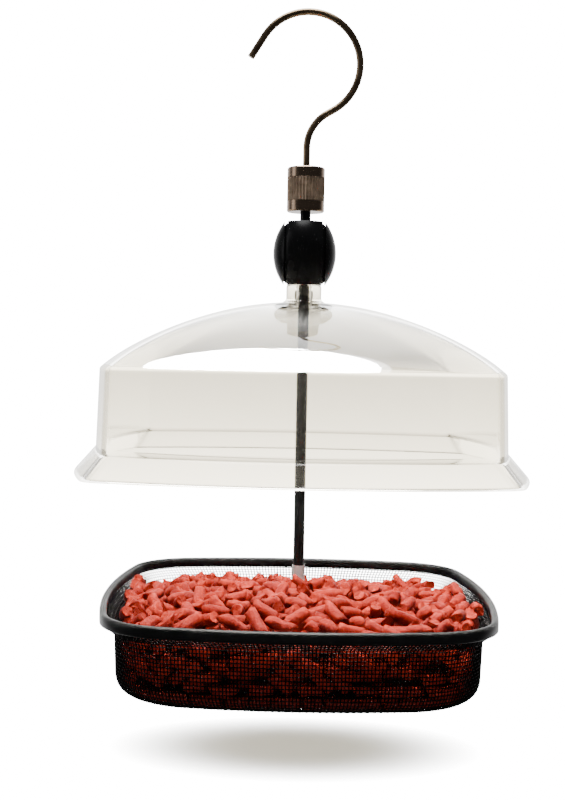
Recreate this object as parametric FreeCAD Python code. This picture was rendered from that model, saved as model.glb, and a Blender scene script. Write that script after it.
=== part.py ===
"""Hanging bird feeder: a wire-mesh tray on a central rod, under a clear square dome.

The feeder hangs from a bent wire hook. The hook turns in a knurled collar, and the rod hangs from the collar.
The dome turns in the foot of a black ball that grips the rod; squeezing the ball's two cheeks lets it slide.
Millimetres, +Z up, front towards -Y. The origin is where a branch or bracket bears on the inside of the hook.
"""

import FreeCAD, Part
import math
import os

Vector = FreeCAD.Vector
ORIGIN = Vector(0, 0, 0)
UP = Vector(0, 0, 1)
RIGHT = Vector(1, 0, 0)

# Hook
WIRE_D = 2.75
BOW_R = 20.3  # centreline of the hook's bow
BOW_LOW_ANGLE = 60.0  # how far the bow runs below its centre before it turns back to the axis
BOW_TIP_ANGLE = 148.0  # where the bow ends and the straight tip begins
TIP_LENGTH = 10.0
SHANK_BEND_R = 15.6
SHANK_SHOWING = 7.8  # straight wire between the bend and the collar
HEAD_D = 5.8  # upset end that the collar carries
HEAD_H = 1.8
WASHER_LIP = 0.7  # how far the thrust washer stands out past the head
WASHER_H = 0.6

# Swivel collar: two turned caps pressed into a knurled sleeve
COLLAR_D = 14.7
COLLAR_TOP_BAND = 3.9
COLLAR_KNURL_BAND = 9.2
COLLAR_LOW_BAND = 4.2
COLLAR_EDGE = 0.4  # chamfer on the two outer rims
SLEEVE_WALL = 1.8
CAP_SPIGOT_WALL = 1.0
CAP_SPIGOT_H = 2.6
KNURL_TEETH = 36
KNURL_DEPTH = 0.45

# Rod, its stem in the collar, and the post in the tray
ROD_D = 4.3
STEM_D = 4.1
STEM_SHOWING = 3.9  # from the collar down to the ball, with the dome where it is shown
STEM_IN_BALL = 0.5
STEM_PAST_NUT = 0.6
NUT_ACROSS = 7.2
NUT_H = 2.6
ROD_FOOT_D = 3.2
ROD_FOOT_L = 12.0
POST_D = 5.0
POST_OVER_RIM = 9.9
POST_FLANGE_D = 10.0
POST_FLANGE_H = 1.6
THREAD_SPARE = 1.0  # depth of a hole past the end of its thread

# Ball lock
BALL_D = 24.7
BALL_H = 24.6
BALL_FLAT_D = 16.2  # flats on top and below
BLOCK_W = 13.5  # middle block, between the two slits
PRESS_TRAVEL = 1.1
CHEEK_SPARE = 0.2  # what is left of the slit when a cheek is pressed home
SKIRT_INSET = 0.7  # from the ball's outside in to the skirt behind each cheek
SKIRT_LAP = 0.8  # how far the skirt lies inside the block, with the cheek out
PLUNGER_D = 8.4
TONGUE_WALL = 2.7  # of a tongue past the rod
TONGUE_SPLIT = 0.4  # between the upper and the lower tongue
SPRING_WIRE_D = 0.7
SPRING_TURNS = 2.5
SPRING_GAP = 0.45  # round the plunger, and inside the pocket
SPRING_POCKET_DEPTH = 3.0
SOCKET_WALL = 4.1  # from the flat foot's edge in to the dome's spigot
SOCKET_DEPTH = 4.2
CLIP_H = 0.8
CLIP_BITE = 0.5  # how far the snap ring reaches into the socket's wall
CLIP_REACH = 0.6  # how far it reaches inward, into the spigot's groove
CLIP_MOUTH_ANGLE = 70.0
CLIP_OVER_FOOT = 1.6  # from the ball's foot up to the snap ring

# Dome
DOME_W = 154.6  # outside, where the top meets the wall
DOME_DRAFT = 1.0  # how far each wall leans out on its way down
DOME_FLARE_OUT = 8.0
DOME_TOP_RISE = 26.5
DOME_WALL_H = 29.1
DOME_FLARE_H = 9.1
DOME_THICKNESS = 1.6
DOME_CORNER_R = 3.5
DOME_FLARE_ROUND = 0.5  # growth of the corners' radius over the flare, per unit out
DOME_SIDE_R = 240.0  # the walls bow out, as the tray's do
DOME_TOP_POWER = 2.0  # of its rise towards the neck, where 2 is a parabola
DOME_EDGE_SHARE = 0.065  # of the rise, gained close to the shoulder
DOME_EDGE_POWER = 13.0
DOME_RINGS = (1.0, 0.955, 0.89, 0.8, 0.68, 0.53, 0.37, 0.22)  # rings of the top, as shares of its half width
DOME_ROUND_POWER = 2.0  # how late the rings turn from square to round
NECK_ROUNDNESS = 0.9  # of the last ring, where 1 is a circle
NECK_D = 13.8
NECK_SHOWING = 6.7
NECK_FILLET_R = 1.6

# Tray
DOME_TO_TRAY = 49.2  # open height between the dome's rim and the tray's rim, as shown
TRAY_W = 151.6
TRAY_H = 30.7
TRAY_CORNER_R = 27.0
TRAY_SIDE_R = 280.0  # the sides bow out a little
RIM_H = 4.0
RIM_THICKNESS = 2.8
RIM_CREST = 1.4  # metal over the slot that grips the mesh
RIM_ROUND = 0.5
MESH_THICKNESS = 0.8
MESH_STEP = 4.4  # from the hem in the rim to the top of the wall
MESH_STEP_H = 3.4
MESH_LEAN = 0.8  # how far each wall leans in on its way down
MESH_FLOOR_CORNER_R = 31.0
MESH_FLOOR_ROUND = 6.5
PLATE_D = 34.0
PLATE_H = 1.2
DISC_D = 50.0
DISC_H = 1.5
SCREW_D = 3.0
SCREW_L = 13.0
SCREW_HEAD_D = 5.4
SCREW_SLOT_W = 0.8
SCREW_SLOT_DEPTH = 0.6

# Feed
FEED_OVER_RIM = 4.5  # crest of the mound, pellets and all, over the tray's rim
FEED_CREST_Y = -30.0  # the mound is highest in front of the post
FEED_CREST_R = 20.0  # level part of its top
FEED_SIDES = 8
FEED_SLOPE = 0.17
PELLET_D = 4.4
PELLET_L = 10.5
PELLET_SPREAD = 6.3  # turn by turn, a pellet lies this far out times the root of its number
PELLET_SUNK = 1.6  # how deep the top ones lie in the mound
PELLET_TURN = 1.9  # from one pellet to the next, in radians
PELLETS = 160  # laid out from the post; those that would pass the wall are left off

# Clearances
SWIVEL_GAP = 0.15  # hook in collar and spigot in socket, each side
ROD_GAP = 0.25  # ball and dome on the rod, each side
PLUNGER_GAP = 0.15
GRIP_GAP = 0.08  # between a tongue and the rod that it pinches
SEAT_GAP = 0.2  # between flat faces that turn on each other
FIT_GAP = 0.05  # threads and press fits
SCREW_HOLE_GAP = 0.2
MESH_SLOT_GAP = 0.2
FEED_GAP = 0.2  # round the feed, from the mesh, the post and the plate

# Levels on the axis, from the hook down
BOW_LOW = math.radians(BOW_LOW_ANGLE)
BOW_Z = -(BOW_R - WIRE_D / 2)
SHANK_RUN = (BOW_R * math.cos(BOW_LOW) - SHANK_BEND_R * (1 - math.cos(BOW_LOW))) / math.sin(BOW_LOW)
BEND_END_Z = BOW_Z - (BOW_R + SHANK_BEND_R) * math.sin(BOW_LOW) - SHANK_RUN * math.cos(BOW_LOW)
COLLAR_TOP_Z = BEND_END_Z - SHANK_SHOWING
SLEEVE_TOP_Z = COLLAR_TOP_Z - COLLAR_TOP_BAND
SLEEVE_LOW_Z = SLEEVE_TOP_Z - COLLAR_KNURL_BAND
COLLAR_LOW_Z = SLEEVE_LOW_Z - COLLAR_LOW_BAND
WASHER_TOP_Z = SLEEVE_TOP_Z - SEAT_GAP
HEAD_TOP_Z = WASHER_TOP_Z - WASHER_H - SEAT_GAP
BALL_TOP_Z = COLLAR_LOW_Z - STEM_SHOWING
BALL_Z = BALL_TOP_Z - BALL_H / 2
BALL_LOW_Z = BALL_TOP_Z - BALL_H
STEM_LOW_Z = BALL_TOP_Z - STEM_IN_BALL
SOCKET_TOP_Z = BALL_LOW_Z + SOCKET_DEPTH
CLIP_Z = BALL_LOW_Z + CLIP_OVER_FOOT
DOME_TOP_Z = BALL_LOW_Z - NECK_SHOWING
DOME_SHOULDER_Z = DOME_TOP_Z - DOME_TOP_RISE
DOME_JUNCTION_Z = DOME_SHOULDER_Z - DOME_WALL_H
DOME_RIM_Z = DOME_JUNCTION_Z - DOME_FLARE_H
TRAY_TOP_Z = DOME_RIM_Z - DOME_TO_TRAY
RIM_LOW_Z = TRAY_TOP_Z - RIM_H
MESH_TOP_Z = TRAY_TOP_Z - RIM_CREST - MESH_SLOT_GAP
STEP_LOW_Z = RIM_LOW_Z - MESH_STEP_H
TRAY_LOW_Z = TRAY_TOP_Z - TRAY_H
FLOOR_Z = TRAY_LOW_Z + MESH_THICKNESS
POST_LOW_Z = FLOOR_Z + PLATE_H
POST_TOP_Z = TRAY_TOP_Z + POST_OVER_RIM
DISC_LOW_Z = TRAY_LOW_Z - DISC_H

# Sizes that more than one piece takes
HOOK_BORE_D = WIRE_D + 2 * SWIVEL_GAP
ROD_BORE_D = ROD_D + 2 * ROD_GAP
SLEEVE_BORE_D = COLLAR_D - 2 * SLEEVE_WALL
BLOCK_HALF = BLOCK_W / 2
CHEEK_X = BLOCK_HALF + PRESS_TRAVEL + CHEEK_SPARE
SKIRT_X = BLOCK_HALF - SKIRT_LAP
RECESS_X = SKIRT_X - PRESS_TRAVEL - CHEEK_SPARE
SPRING_X = BLOCK_HALF - SPRING_POCKET_DEPTH
SPRING_MEAN_D = PLUNGER_D + 2 * SPRING_GAP + SPRING_WIRE_D
SPRING_POCKET_D = SPRING_MEAN_D + 2 * SPRING_GAP + SPRING_WIRE_D
SOCKET_D = BALL_FLAT_D - 2 * SOCKET_WALL
SPIGOT_D = SOCKET_D - 2 * SWIVEL_GAP
CLIP_D = SOCKET_D + 2 * CLIP_BITE
CLIP_BORE_D = SOCKET_D - 2 * CLIP_REACH
MESH_INSET = (RIM_THICKNESS - MESH_THICKNESS) / 2  # from the rim's outside to the mesh
SCREW_HOLE_D = SCREW_D + 2 * SCREW_HOLE_GAP


def cylinder(diameter, low, high):
    """Upright cylinder on the axis, between two levels."""
    return Part.makeCylinder(diameter / 2, high - low, UP * low, UP)


def tube(outer, inner, low, high):
    return cylinder(outer, low, high).cut(cylinder(inner, low, high))


def box(low, high):
    """Block between two opposite corners."""
    return Part.makeBox(high.x - low.x, high.y - low.y, high.z - low.z, low)


def turned(points):
    """Solid of revolution about the vertical axis from (radius, height) corners."""
    corners = [Vector(radius, 0, height) for radius, height in points]
    return Part.Face(Part.makePolygon(corners + corners[:1])).revolve(ORIGIN, UP, 360)


def edges_at(shape, height):
    """Edges of a shape that lie at one level."""
    def is_level(box):
        return max(abs(box.ZMin - height), abs(box.ZMax - height)) < FIT_GAP
    return [edge for edge in shape.Edges if is_level(edge.BoundBox)]


def one_solid(shape):
    """The shape's only solid, tidied; more than one means that a cut went wrong."""
    solids = shape.removeSplitter().Solids
    if len(solids) != 1:
        raise ValueError(f"{len(solids)} solids where one was meant")
    return solids[0]


def hook_arc(centre_x, centre_z, radius, start, end):
    """Arc in the hook's plane, its angles in radians from +X towards +Z, and its two ends."""
    def place(angle):
        return Vector(centre_x + radius * math.cos(angle), 0, centre_z + radius * math.sin(angle))
    edge = Part.Arc(place(start), place((start + end) / 2), place(end)).toShape()
    return edge, place(start), place(end)


def hook():
    """Question-mark hook of round wire, with an upset head below the collar's top."""
    head_low = HEAD_TOP_Z - HEAD_H
    tip_angle = math.radians(BOW_TIP_ANGLE)
    bend, bend_low, bend_high = hook_arc(SHANK_BEND_R, BEND_END_Z, SHANK_BEND_R, math.pi, math.pi - BOW_LOW)
    bow, bow_low, bow_end = hook_arc(0, BOW_Z, BOW_R, -BOW_LOW, tip_angle)
    tip = bow_end + Vector(-math.sin(tip_angle), 0, math.cos(tip_angle)) * TIP_LENGTH
    runs = [
        Part.LineSegment(UP * head_low, bend_low).toShape(),
        bend,
        Part.LineSegment(bend_high, bow_low).toShape(),
        bow,
        Part.LineSegment(bow_end, tip).toShape(),
    ]
    section = Part.Wire(Part.makeCircle(WIRE_D / 2, UP * head_low, UP))
    wire = Part.Wire(runs).makePipeShell([section], True, False)
    return one_solid(wire.fuse(cylinder(HEAD_D, head_low, HEAD_TOP_Z)))


def swivel_washer():
    """Thrust washer that the hook's head turns on."""
    return tube(HEAD_D + 2 * WASHER_LIP, HOOK_BORE_D, WASHER_TOP_Z - WASHER_H, WASHER_TOP_Z)


def collar_cap(outer_z, sleeve_z, bore):
    """Plain band with a chamfered rim, and a thin spigot that goes into the sleeve."""
    way = math.copysign(1, outer_z - sleeve_z)
    radius = COLLAR_D / 2
    band = turned([
        (0, sleeve_z), (radius, sleeve_z), (radius, outer_z - way * COLLAR_EDGE),
        (radius - COLLAR_EDGE, outer_z), (0, outer_z),
    ])
    spigot_d = SLEEVE_BORE_D - 2 * FIT_GAP
    low, high = sorted((sleeve_z, sleeve_z - way * CAP_SPIGOT_H))
    spigot = tube(spigot_d, spigot_d - 2 * CAP_SPIGOT_WALL, low, high)
    return one_solid(band.fuse(spigot).cut(cylinder(bore, COLLAR_LOW_Z, COLLAR_TOP_Z)))


def collar_sleeve():
    """Straight-knurled sleeve between the caps: a star-shaped prism with a bore."""
    points = []
    for i in range(2 * KNURL_TEETH):
        radius = COLLAR_D / 2 - (i % 2) * KNURL_DEPTH
        angle = math.pi * i / KNURL_TEETH
        points.append(Vector(radius * math.cos(angle), radius * math.sin(angle), SLEEVE_LOW_Z))
    star = Part.Face(Part.makePolygon(points + points[:1])).extrude(UP * COLLAR_KNURL_BAND)
    return one_solid(star.cut(cylinder(SLEEVE_BORE_D, SLEEVE_LOW_Z, SLEEVE_TOP_Z)))


def rod_nut():
    """Hexagon nut on the stem, which carries the rod inside the collar."""
    radius = NUT_ACROSS / math.sqrt(3)
    turns = [math.pi / 3 * i for i in range(7)]
    corners = [Vector(radius * math.cos(turn), radius * math.sin(turn), SLEEVE_LOW_Z) for turn in turns]
    block = Part.Face(Part.makePolygon(corners)).extrude(UP * NUT_H)
    return one_solid(block.cut(cylinder(STEM_D + 2 * FIT_GAP, SLEEVE_LOW_Z, SLEEVE_LOW_Z + NUT_H)))


def rod():
    """Rod with a thinner stem up into the collar and a turned-down foot for the post."""
    stem = cylinder(STEM_D, STEM_LOW_Z, SLEEVE_LOW_Z + NUT_H + STEM_PAST_NUT)
    bar = cylinder(ROD_D, POST_TOP_Z, STEM_LOW_Z)
    foot = cylinder(ROD_FOOT_D, POST_TOP_Z - ROD_FOOT_L, POST_TOP_Z)
    return one_solid(bar.fuse([stem, foot]))


def tray_post():
    """Plated post with a flanged foot, tapped at both ends."""
    rod_hole_low = POST_TOP_Z - ROD_FOOT_L - THREAD_SPARE
    screw_hole_top = DISC_LOW_Z + SCREW_L + THREAD_SPARE
    post = cylinder(POST_D, POST_LOW_Z, POST_TOP_Z)
    flange = cylinder(POST_FLANGE_D, POST_LOW_Z, POST_LOW_Z + POST_FLANGE_H)
    return one_solid(post.fuse(flange).cut([
        cylinder(ROD_FOOT_D + 2 * FIT_GAP, rod_hole_low, POST_TOP_Z),
        cylinder(SCREW_D + 2 * FIT_GAP, POST_LOW_Z, screw_hole_top),
    ]))


def barrel_slice(inset, near, far):
    """The ball's outside, taken in by inset, between two places along X: an arc turned about the axis."""
    flat = BALL_FLAT_D / 2 - inset
    low = Vector(flat, 0, BALL_LOW_Z + inset)
    high = Vector(flat, 0, BALL_TOP_Z - inset)
    bulge = Part.Arc(low, Vector(BALL_D / 2 - inset, 0, BALL_Z), high).toShape()
    rest = Part.makePolygon([high, UP * high.z, UP * low.z, low])
    barrel = Part.Face(Part.Wire([bulge] + rest.Edges)).revolve(ORIGIN, UP, 360)
    return barrel.common(box(Vector(near, -BALL_D, BALL_LOW_Z), Vector(far, BALL_D, BALL_TOP_Z)))


def across(diameter, low, high):
    """Cylinder along X through the ball's middle."""
    return Part.makeCylinder(diameter / 2, high - low, Vector(low, 0, BALL_Z), RIGHT)


def lock_body():
    """Middle block of the ball, hollowed for the rod, the two buttons and the dome's spigot."""
    cuts = [
        cylinder(ROD_BORE_D, BALL_LOW_Z, BALL_TOP_Z),
        cylinder(SOCKET_D, BALL_LOW_Z, SOCKET_TOP_Z),
        cylinder(CLIP_D, CLIP_Z, CLIP_Z + CLIP_H),
        across(PLUNGER_D + 2 * PLUNGER_GAP, -BLOCK_HALF, BLOCK_HALF),
    ]
    recess_inset = SKIRT_INSET - PLUNGER_GAP
    for near, far, floor in ((RECESS_X, BLOCK_HALF, SPRING_X), (-BLOCK_HALF, -RECESS_X, -SPRING_X)):
        cuts.append(barrel_slice(recess_inset, near, far))
        cuts.append(across(SPRING_POCKET_D, min(near, floor), max(far, floor)))
    return one_solid(barrel_slice(0, -BLOCK_HALF, BLOCK_HALF).cut(cuts))


def lock_button(side):
    """One cheek of the ball with its tongue, whose slot pinches the rod. Side is 1 for right, -1 for left."""
    cheek = barrel_slice(0, CHEEK_X, BALL_D)
    skirt = barrel_slice(SKIRT_INSET, SKIRT_X, CHEEK_X).cut(across(SPRING_POCKET_D, SKIRT_X, CHEEK_X))
    pinch = -(ROD_D / 2 + GRIP_GAP)
    lower_half = box(Vector(-BALL_D, -BALL_D, BALL_LOW_Z), Vector(BALL_D, BALL_D, BALL_Z - TONGUE_SPLIT / 2))
    tongue = across(PLUNGER_D, pinch - TONGUE_WALL, CHEEK_X).common(lower_half)
    slot_half = ROD_BORE_D / 2
    slot_ends = (pinch + slot_half, pinch + slot_half + PRESS_TRAVEL)
    slot = [Part.makeCylinder(slot_half, BALL_H, Vector(x, 0, BALL_LOW_Z), UP) for x in slot_ends]
    slot.append(box(Vector(slot_ends[0], -slot_half, BALL_LOW_Z), Vector(slot_ends[1], slot_half, BALL_Z)))
    piece = one_solid(cheek.fuse([skirt, tongue.cut(slot)]))
    if side < 0:
        piece.rotate(UP * BALL_Z, Vector(0, 1, 0), 180)
    return piece


def arc_from(start, way, end):
    """Arc that leaves start along way and reaches end."""
    chord = end - start
    bow = way - chord * (way.dot(chord) / chord.dot(chord))
    bow.normalize()
    rise = chord.Length / 2 * math.tan(chord.getAngle(way) / 2)
    return Part.Arc(start, (start + end) * 0.5 + bow * rise, end).toShape()


def biarc(start, start_way, end, end_way):
    """Two arcs, tangent to each other and to both ways, from start to end."""
    chord = end - start
    along = chord.dot(start_way + end_way)
    spread = 2 * (1 - start_way.dot(end_way))
    reach = (math.sqrt(along**2 + spread * chord.dot(chord)) - along) / spread
    joint = (start + end + (start_way - end_way) * reach) * 0.5
    return [arc_from(start, start_way, joint), arc_from(end, end_way * -1, joint)]


def lock_spring(side):
    """Return spring between the block's pocket and one cheek: round wire wound about X, in quarter turns."""
    low = SPRING_X + SPRING_WIRE_D / 2 + SEAT_GAP
    high = CHEEK_X - SPRING_WIRE_D / 2 - SEAT_GAP
    radius = SPRING_MEAN_D / 2
    pitch = (high - low) / SPRING_TURNS
    stations = []
    for i in range(round(4 * SPRING_TURNS) + 1):
        angle = math.pi / 2 * i
        place = Vector(low + pitch * i / 4, radius * math.cos(angle), BALL_Z + radius * math.sin(angle))
        way = Vector(pitch / (2 * math.pi), -radius * math.sin(angle), radius * math.cos(angle))
        stations.append((place, way.normalize()))
    arcs = []
    for (start, start_way), (end, end_way) in zip(stations, stations[1:]):
        arcs += biarc(start, start_way, end, end_way)
    path = Part.Wire(Part.__sortEdges__(arcs))
    section = Part.Wire(Part.makeCircle(SPRING_WIRE_D / 2, *stations[0]))
    piece = path.makePipeShell([section], True, False).Solids[0]
    print(f"spring: gap between turns {pitch - SPRING_WIRE_D:.2f} mm")
    if side < 0:
        piece.rotate(UP * BALL_Z, UP, 180)
    return piece


def neck_clip():
    """Open snap ring in the socket, which holds the dome's spigot."""
    ring = tube(CLIP_D, CLIP_BORE_D, CLIP_Z, CLIP_Z + CLIP_H)
    half = math.radians(CLIP_MOUTH_ANGLE / 2)
    corners = [UP * CLIP_Z] + [Vector(CLIP_D, CLIP_D * math.tan(turn), CLIP_Z) for turn in (-half, half)]
    mouth = Part.Face(Part.makePolygon(corners + corners[:1])).extrude(UP * CLIP_H)
    return one_solid(ring.cut(mouth))


def bowed_square(half, corner, side_radius, height):
    """Square wire with bowed sides and round corners, all arcs tangent."""
    back = side_radius - half
    middle = (math.sqrt(2 * (side_radius - corner) ** 2 - back**2) - back) / 2
    reach = Vector(middle + back, middle, 0)
    meet = Vector(-back, 0, 0) + reach * (side_radius / reach.Length)
    diagonal = middle + corner * math.sqrt(0.5)
    edges = []
    for turn in range(4):
        start = Vector(meet.x, -meet.y, height)
        turn_in = Vector(meet.x, meet.y, height)
        turn_out = Vector(meet.y, meet.x, height)
        side = Part.Arc(start, Vector(half, 0, height), turn_in).toShape()
        bend = Part.Arc(turn_in, Vector(diagonal, diagonal, height), turn_out).toShape()
        for edge in (side, bend):
            edge.rotate(ORIGIN, UP, 90 * turn)
            edges.append(edge)
    return Part.Wire(edges)


def dome_crown(half, corner, side_radius, rise, neck_half):
    """Pillow-shaped top: rings that go from the square shoulder to nearly a circle at the neck."""
    neck_share = neck_half / half
    rings = []
    for share in DOME_RINGS + (neck_share,):
        turning = ((1 - share) / (1 - neck_share)) ** DOME_ROUND_POWER
        roundness = corner / half + (NECK_ROUNDNESS - corner / half) * turning
        fall = (1 - DOME_EDGE_SHARE) * share**DOME_TOP_POWER + DOME_EDGE_SHARE * share**DOME_EDGE_POWER
        height = DOME_SHOULDER_Z + rise * (1 - fall)
        rings.append(bowed_square(share * half, share * half * roundness, share * side_radius, height))
    return Part.makeLoft(rings, True, False)


def dome_form(inset):
    """The dome's solid form, taken in by a wall thickness for its inside."""
    half = DOME_W / 2 - inset
    corner = DOME_CORNER_R - inset
    side_radius = DOME_SIDE_R - inset
    rings = []
    for out, level in (
        (0, DOME_SHOULDER_Z), (DOME_DRAFT, DOME_JUNCTION_Z), (DOME_DRAFT + DOME_FLARE_OUT, DOME_RIM_Z),
    ):
        rings.append(bowed_square(half + out, corner + out * DOME_FLARE_ROUND, side_radius + out, level))
    crown = dome_crown(half, corner, side_radius, DOME_TOP_RISE - inset, NECK_D / 2 + NECK_FILLET_R)
    return crown.fuse([Part.makeLoft(rings[:2], True, True), Part.makeLoft(rings[1:], True, True)])


def dome_neck():
    """Thick clear neck with a filleted root, and the grooved spigot that turns in the ball's foot."""
    root = DOME_TOP_Z - DOME_THICKNESS
    neck = cylinder(NECK_D, root, BALL_LOW_Z - SEAT_GAP)
    spigot = cylinder(SPIGOT_D, root, SOCKET_TOP_Z - SEAT_GAP)
    groove_d = CLIP_BORE_D - 2 * SWIVEL_GAP
    groove = tube(SOCKET_D, groove_d, CLIP_Z - SEAT_GAP, CLIP_Z + CLIP_H + SEAT_GAP)
    foot = cylinder(NECK_D + 2 * NECK_FILLET_R, root, DOME_TOP_Z + NECK_FILLET_R)
    hollow = Part.makeTorus(NECK_D / 2 + NECK_FILLET_R, NECK_FILLET_R, UP * (DOME_TOP_Z + NECK_FILLET_R), UP)
    return neck.fuse([spigot.cut(groove), foot.cut(hollow)])


def dome():
    """Clear moulded cover: pillow top, upright walls, flared rim and a neck round the rod."""
    shell = dome_form(0).cut(dome_form(DOME_THICKNESS)).fuse(dome_neck())
    return one_solid(shell.cut(cylinder(ROD_BORE_D, DOME_RIM_Z, BALL_TOP_Z)))


def tray_outline(inset, height):
    """The tray's outline at one level, taken in by inset."""
    return bowed_square(TRAY_W / 2 - inset, TRAY_CORNER_R - inset, TRAY_SIDE_R - inset, height)


def tray_prism(inset, low, high):
    return Part.Face(tray_outline(inset, low)).extrude(UP * (high - low))


def tray_ring(outer_inset, inner_inset, low, high):
    return tray_prism(outer_inset, low, high).cut(tray_prism(inner_inset, low, high))


def tray_rim():
    """Folded black band that grips the mesh in a slot from below, with a rounded crest."""
    band = tray_ring(0, RIM_THICKNESS, RIM_LOW_Z, TRAY_TOP_Z)
    band = band.makeFillet(RIM_ROUND, edges_at(band, TRAY_TOP_Z))
    slot_outer = MESH_INSET - MESH_SLOT_GAP
    slot_inner = MESH_INSET + MESH_THICKNESS + MESH_SLOT_GAP
    return one_solid(band.cut(tray_ring(slot_outer, slot_inner, RIM_LOW_Z, TRAY_TOP_Z - RIM_CREST)))


def basket_walls(inset, floor_z, foot_round):
    """Solid form within the basket's walls, from a rounded foot up to the step."""
    wall_in = MESH_INSET + MESH_STEP + inset
    foot_in = wall_in + MESH_LEAN
    foot = bowed_square(TRAY_W / 2 - foot_in, MESH_FLOOR_CORNER_R - inset, TRAY_SIDE_R - foot_in, floor_z)
    walls = Part.makeLoft([foot, tray_outline(wall_in, STEP_LOW_Z)], True, True)
    return walls.makeFillet(foot_round, edges_at(walls, floor_z))


def basket_form(inset, floor_z):
    """Solid form of the basket: a hem in the rim, a step in below it, and the walls."""
    hem_in = MESH_INSET + inset
    hem = tray_outline(hem_in, RIM_LOW_Z)
    step = Part.makeLoft([tray_outline(hem_in + MESH_STEP, STEP_LOW_Z), hem], True, True)
    walls = basket_walls(inset, floor_z, MESH_FLOOR_ROUND - inset)
    return walls.fuse([step, Part.Face(hem).extrude(UP * (MESH_TOP_Z - RIM_LOW_Z))])


def tray_basket():
    """Pressed mesh basket, as a thin sheet with the mesh's real outline."""
    shell = basket_form(0, TRAY_LOW_Z).cut(basket_form(MESH_THICKNESS, FLOOR_Z))
    return one_solid(shell.cut(cylinder(SCREW_HOLE_D, TRAY_LOW_Z, TRAY_TOP_Z)))


def base_plate():
    """Disc that spreads the post's load on the mesh."""
    return tube(PLATE_D, SCREW_HOLE_D, FLOOR_Z, POST_LOW_Z)


def screw_cone(gap):
    """Countersunk head at right angles, flush with the base disc, with a gap all round for its hole."""
    radius = SCREW_HEAD_D / 2 + gap
    return Part.makeCone(radius, 0, radius, UP * DISC_LOW_Z, UP)


def base_disc():
    """Flat foot under the mesh, countersunk for the screw."""
    disc = tube(DISC_D, SCREW_HOLE_D, DISC_LOW_Z, TRAY_LOW_Z)
    return one_solid(disc.cut(screw_cone(SCREW_HOLE_GAP)))


def base_screw():
    """Countersunk screw that clamps disc, mesh and plate to the post."""
    shank = cylinder(SCREW_D, DISC_LOW_Z, DISC_LOW_Z + SCREW_L)
    slot = box(
        Vector(-SCREW_HEAD_D, -SCREW_SLOT_W / 2, DISC_LOW_Z),
        Vector(SCREW_HEAD_D, SCREW_SLOT_W / 2, DISC_LOW_Z + SCREW_SLOT_DEPTH),
    )
    return one_solid(screw_cone(0).fuse(shank).cut(slot))


def mound_fall(across, back):
    """How far the mound's top lies below its crest: level round the crest, then even slopes."""
    turns = [2 * math.pi * i / FEED_SIDES for i in range(FEED_SIDES)]
    reach = max(across * math.cos(turn) + (back - FEED_CREST_Y) * math.sin(turn) for turn in turns)
    return FEED_SLOPE * max(0, reach - FEED_CREST_R)


def mound_slopes(crest_z, low_reach):
    """Wide solid under the mound's top: a level crest with plane slopes round it."""
    rings = []
    for reach in (low_reach, FEED_CREST_R):
        radius = reach / math.cos(math.pi / FEED_SIDES)
        height = crest_z - FEED_SLOPE * (reach - FEED_CREST_R)
        ring = []
        for i in range(FEED_SIDES):
            turn = 2 * math.pi * (i + 0.5) / FEED_SIDES
            ring.append(Vector(radius * math.cos(turn), FEED_CREST_Y + radius * math.sin(turn), height))
        rings.append(ring)
    low, high = rings
    loops = [low, high]
    for i in range(FEED_SIDES):
        loops.append([low[i - 1], low[i], high[i], high[i - 1]])
    return Part.makeSolid(Part.makeShell([Part.Face(Part.makePolygon(loop + loop[:1])) for loop in loops]))


def top_pellets(axis_z, room, post_hole):
    """Pellets sunk in the mound's top, spread in a sunflower's pattern inside the basket's room."""
    golden = math.pi * (3 - math.sqrt(5))
    laid = []
    for i in range(1, PELLETS):
        reach = PELLET_SPREAD * math.sqrt(i)
        across, back = reach * math.cos(golden * i), reach * math.sin(golden * i)
        way = Vector(math.cos(PELLET_TURN * i), math.sin(PELLET_TURN * i), 0)
        middle = Vector(across, back, axis_z - mound_fall(across, back))
        ends = [middle + way * (step * (PELLET_L + PELLET_D) / 2) for step in (-1, 1)]
        pellet = Part.makeCylinder(PELLET_D / 2, PELLET_L, middle - way * (PELLET_L / 2), way)
        if all(room.isInside(end, FIT_GAP, False) for end in ends) and pellet.distToShape(post_hole)[0] > 0:
            laid.append(pellet)
    return laid


def feed():
    """Mound of feed that rests on the basket's floor: one body round the post, with whole pellets on top."""
    inset = MESH_THICKNESS + FEED_GAP
    crest_z = TRAY_TOP_Z + FEED_OVER_RIM - PELLET_D + PELLET_SUNK
    over_step = tray_prism(MESH_INSET + MESH_STEP + inset, STEP_LOW_Z, crest_z + PELLET_D)
    post_hole = cylinder(POST_D + 2 * FEED_GAP, FLOOR_Z, crest_z + PELLET_D)
    room = basket_walls(inset, FLOOR_Z, MESH_FLOOR_ROUND).fuse(over_step)
    mound = room.common(mound_slopes(crest_z, 2 * TRAY_W)).cut([
        post_hole,
        cylinder(PLATE_D + 2 * FEED_GAP, FLOOR_Z, POST_LOW_Z + FEED_GAP),
        cylinder(POST_FLANGE_D + 2 * FEED_GAP, FLOOR_Z, POST_LOW_Z + POST_FLANGE_H + FEED_GAP),
    ])
    return one_solid(mound.fuse(top_pellets(crest_z + PELLET_D / 2 - PELLET_SUNK, room, post_hole)))


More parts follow.
